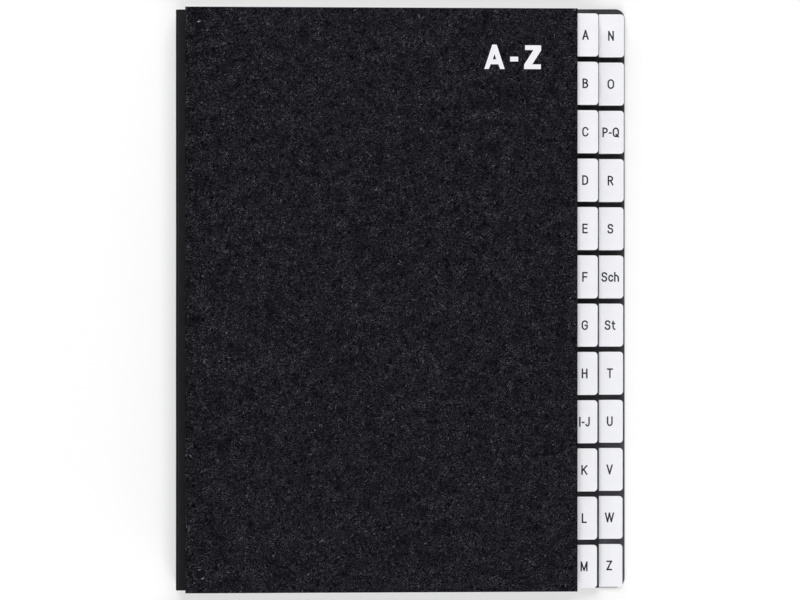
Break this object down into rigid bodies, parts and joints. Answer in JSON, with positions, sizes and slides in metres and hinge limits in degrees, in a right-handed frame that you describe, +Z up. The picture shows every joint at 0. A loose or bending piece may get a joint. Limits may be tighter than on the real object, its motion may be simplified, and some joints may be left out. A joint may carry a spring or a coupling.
{
  "type": "alphabetical desk sorter",
  "caption": "Hardboard desk sorter for A4 papers: a narrow front cover over a wide back cover, lettered dividers with white index tabs, bound in a pleated cloth spine with rivets.",
  "frame": {"origin": "on the table, under the middle of the closed folder", "axes": "+X from the spine to the index tabs, +Y from foot to head, +Z up out of the front cover"},
  "size_m": [0.2635, 0.341, 0.0304],
  "materials": {
    "cover_board": "satin",
    "divider_card": "matte",
    "spine_cloth": "matte",
    "tab_label": "satin",
    "rivet": "gloss"
  },
  "bodies": {
    "back_cover": {"back_cover": "cover_board", "back_hinge_leaf": "spine_cloth", "back_rivets": "rivet"},
    "divider_z": {"divider_z": "divider_card", "tab_z": "tab_label"},
    "divider_w": {"divider_w": "divider_card", "tab_w": "tab_label"},
    "divider_v": {"divider_v": "divider_card", "tab_v": "tab_label"},
    "divider_u": {"divider_u": "divider_card", "tab_u": "tab_label"},
    "divider_t": {"divider_t": "divider_card", "tab_t": "tab_label"},
    "divider_st": {"divider_st": "divider_card", "tab_st": "tab_label"},
    "divider_sch": {"divider_sch": "divider_card", "tab_sch": "tab_label"},
    "divider_s": {"divider_s": "divider_card", "tab_s": "tab_label"},
    "divider_r": {"divider_r": "divider_card", "tab_r": "tab_label"},
    "divider_pq": {"divider_pq": "divider_card", "tab_pq": "tab_label"},
    "divider_o": {"divider_o": "divider_card", "tab_o": "tab_label"},
    "divider_n": {"divider_n": "divider_card", "tab_n": "tab_label"},
    "divider_m": {"divider_m": "divider_card", "tab_m": "tab_label"},
    "divider_l": {"divider_l": "divider_card", "tab_l": "tab_label"},
    "divider_k": {"divider_k": "divider_card", "tab_k": "tab_label"},
    "divider_ij": {"divider_ij": "divider_card", "tab_ij": "tab_label"},
    "divider_h": {"divider_h": "divider_card", "tab_h": "tab_label"},
    "divider_g": {"divider_g": "divider_card", "tab_g": "tab_label"},
    "divider_f": {"divider_f": "divider_card", "tab_f": "tab_label"},
    "divider_e": {"divider_e": "divider_card", "tab_e": "tab_label"},
    "divider_d": {"divider_d": "divider_card", "tab_d": "tab_label"},
    "divider_c": {"divider_c": "divider_card", "tab_c": "tab_label"},
    "divider_b": {"divider_b": "divider_card", "tab_b": "tab_label"},
    "divider_a": {"divider_a": "divider_card", "tab_a": "tab_label"},
    "front_cover": {"front_cover": "cover_board", "front_hinge_leaf": "spine_cloth", "front_rivets": "rivet"}
  },
  "joints": [
    {"name": "divider_z_turn", "type": "hinge", "parent": "back_cover", "child": "divider_z", "pos_m": [-0.13132, 0, 0.00243], "axis": [0, 1, 0], "range_deg": [-7, 0]},
    {"name": "divider_w_turn", "type": "hinge", "parent": "divider_z", "child": "divider_w", "pos_m": [-0.13126, 0, 0.00343], "axis": [0, 1, 0], "range_deg": [-7, 0]},
    {"name": "divider_v_turn", "type": "hinge", "parent": "divider_w", "child": "divider_v", "pos_m": [-0.1312, 0, 0.00443], "axis": [0, 1, 0], "range_deg": [-7, 0]},
    {"name": "divider_u_turn", "type": "hinge", "parent": "divider_v", "child": "divider_u", "pos_m": [-0.13113, 0, 0.00543], "axis": [0, 1, 0], "range_deg": [-7, 0]},
    {"name": "divider_t_turn", "type": "hinge", "parent": "divider_u", "child": "divider_t", "pos_m": [-0.13106, 0, 0.00643], "axis": [0, 1, 0], "range_deg": [-7, 0]},
    {"name": "divider_st_turn", "type": "hinge", "parent": "divider_t", "child": "divider_st", "pos_m": [-0.131, 0, 0.00743], "axis": [0, 1, 0], "range_deg": [-7, 0]},
    {"name": "divider_sch_turn", "type": "hinge", "parent": "divider_st", "child": "divider_sch", "pos_m": [-0.13093, 0, 0.00843], "axis": [0, 1, 0], "range_deg": [-7, 0]},
    {"name": "divider_s_turn", "type": "hinge", "parent": "divider_sch", "child": "divider_s", "pos_m": [-0.13087, 0, 0.00942], "axis": [0, 1, 0], "range_deg": [-7, 0]},
    {"name": "divider_r_turn", "type": "hinge", "parent": "divider_s", "child": "divider_r", "pos_m": [-0.13081, 0, 0.01043], "axis": [0, 1, 0], "range_deg": [-7, 0]},
    {"name": "divider_pq_turn", "type": "hinge", "parent": "divider_r", "child": "divider_pq", "pos_m": [-0.13074, 0, 0.01142], "axis": [0, 1, 0], "range_deg": [-7, 0]},
    {"name": "divider_o_turn", "type": "hinge", "parent": "divider_pq", "child": "divider_o", "pos_m": [-0.13068, 0, 0.01243], "axis": [0, 1, 0], "range_deg": [-7, 0]},
    {"name": "divider_n_turn", "type": "hinge", "parent": "divider_o", "child": "divider_n", "pos_m": [-0.13061, 0, 0.01342], "axis": [0, 1, 0], "range_deg": [-7, 0]},
    {"name": "divider_m_turn", "type": "hinge", "parent": "divider_n", "child": "divider_m", "pos_m": [-0.13054, 0, 0.01443], "axis": [0, 1, 0], "range_deg": [-7, 0]},
    {"name": "divider_l_turn", "type": "hinge", "parent": "divider_m", "child": "divider_l", "pos_m": [-0.13048, 0, 0.01542], "axis": [0, 1, 0], "range_deg": [-7, 0]},
    {"name": "divider_k_turn", "type": "hinge", "parent": "divider_l", "child": "divider_k", "pos_m": [-0.13042, 0, 0.01642], "axis": [0, 1, 0], "range_deg": [-7, 0]},
    {"name": "divider_ij_turn", "type": "hinge", "parent": "divider_k", "child": "divider_ij", "pos_m": [-0.13035, 0, 0.01742], "axis": [0, 1, 0], "range_deg": [-7, 0]},
    {"name": "divider_h_turn", "type": "hinge", "parent": "divider_ij", "child": "divider_h", "pos_m": [-0.13029, 0, 0.01843], "axis": [0, 1, 0], "range_deg": [-7, 0]},
    {"name": "divider_g_turn", "type": "hinge", "parent": "divider_h", "child": "divider_g", "pos_m": [-0.13022, 0, 0.01943], "axis": [0, 1, 0], "range_deg": [-7, 0]},
    {"name": "divider_f_turn", "type": "hinge", "parent": "divider_g", "child": "divider_f", "pos_m": [-0.13015, 0, 0.02042], "axis": [0, 1, 0], "range_deg": [-7, 0]},
    {"name": "divider_e_turn", "type": "hinge", "parent": "divider_f", "child": "divider_e", "pos_m": [-0.13009, 0, 0.02142], "axis": [0, 1, 0], "range_deg": [-7, 0]},
    {"name": "divider_d_turn", "type": "hinge", "parent": "divider_e", "child": "divider_d", "pos_m": [-0.13003, 0, 0.02243], "axis": [0, 1, 0], "range_deg": [-7, 0]},
    {"name": "divider_c_turn", "type": "hinge", "parent": "divider_d", "child": "divider_c", "pos_m": [-0.12996, 0, 0.02343], "axis": [0, 1, 0], "range_deg": [-7, 0]},
    {"name": "divider_b_turn", "type": "hinge", "parent": "divider_c", "child": "divider_b", "pos_m": [-0.1299, 0, 0.02442], "axis": [0, 1, 0], "range_deg": [-7, 0]},
    {"name": "divider_a_turn", "type": "hinge", "parent": "divider_b", "child": "divider_a", "pos_m": [-0.12983, 0, 0.02542], "axis": [0, 1, 0], "range_deg": [-7, 0]},
    {"name": "front_cover_open", "type": "hinge", "parent": "divider_a", "child": "front_cover", "pos_m": [-0.12976, 0, 0.02643], "axis": [0, -1, 0], "range_deg": [0, 188]}
  ]
}
